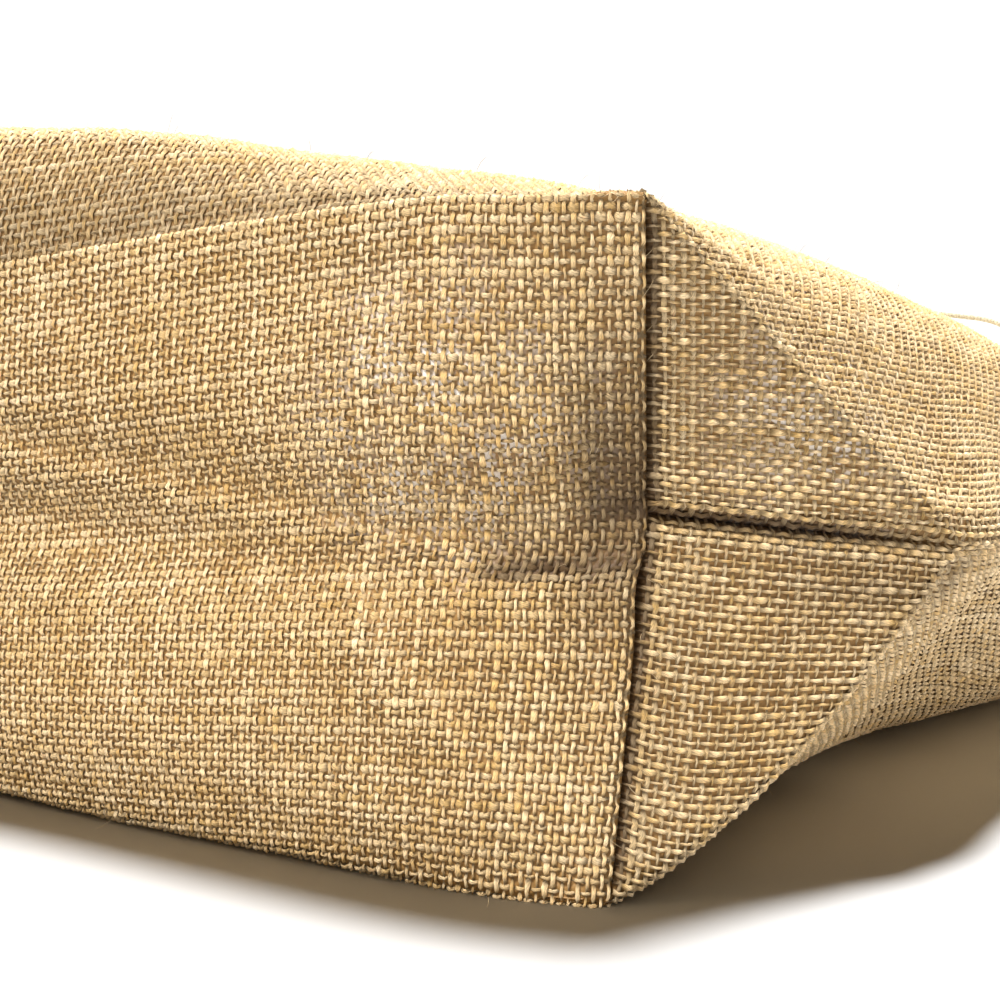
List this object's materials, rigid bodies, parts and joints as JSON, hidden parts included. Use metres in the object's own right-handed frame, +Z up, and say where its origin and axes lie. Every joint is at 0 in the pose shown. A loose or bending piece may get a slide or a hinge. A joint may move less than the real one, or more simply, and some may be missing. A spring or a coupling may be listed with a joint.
{
  "type": "jute tote bag",
  "caption": "Slack woven jute tote bag with a boxed base and webbing handles, lying on its back panel with its mouth open.",
  "frame": {"origin": "on the floor, under the middle of the bag's box", "axes": "+Y from the base towards the mouth, +Z up, +X to the right of somebody who looks at the base"},
  "size_m": [0.4482, 0.4732, 0.1632],
  "materials": {
    "jute_cloth": "coarse plain weave, natural colour, with a clear film behind it",
    "webbing": "cream cotton webbing"
  },
  "bodies": {
    "root": {"body": "jute_cloth", "handle_front": "webbing", "handle_back": "webbing"}
  },
  "joints": []
}
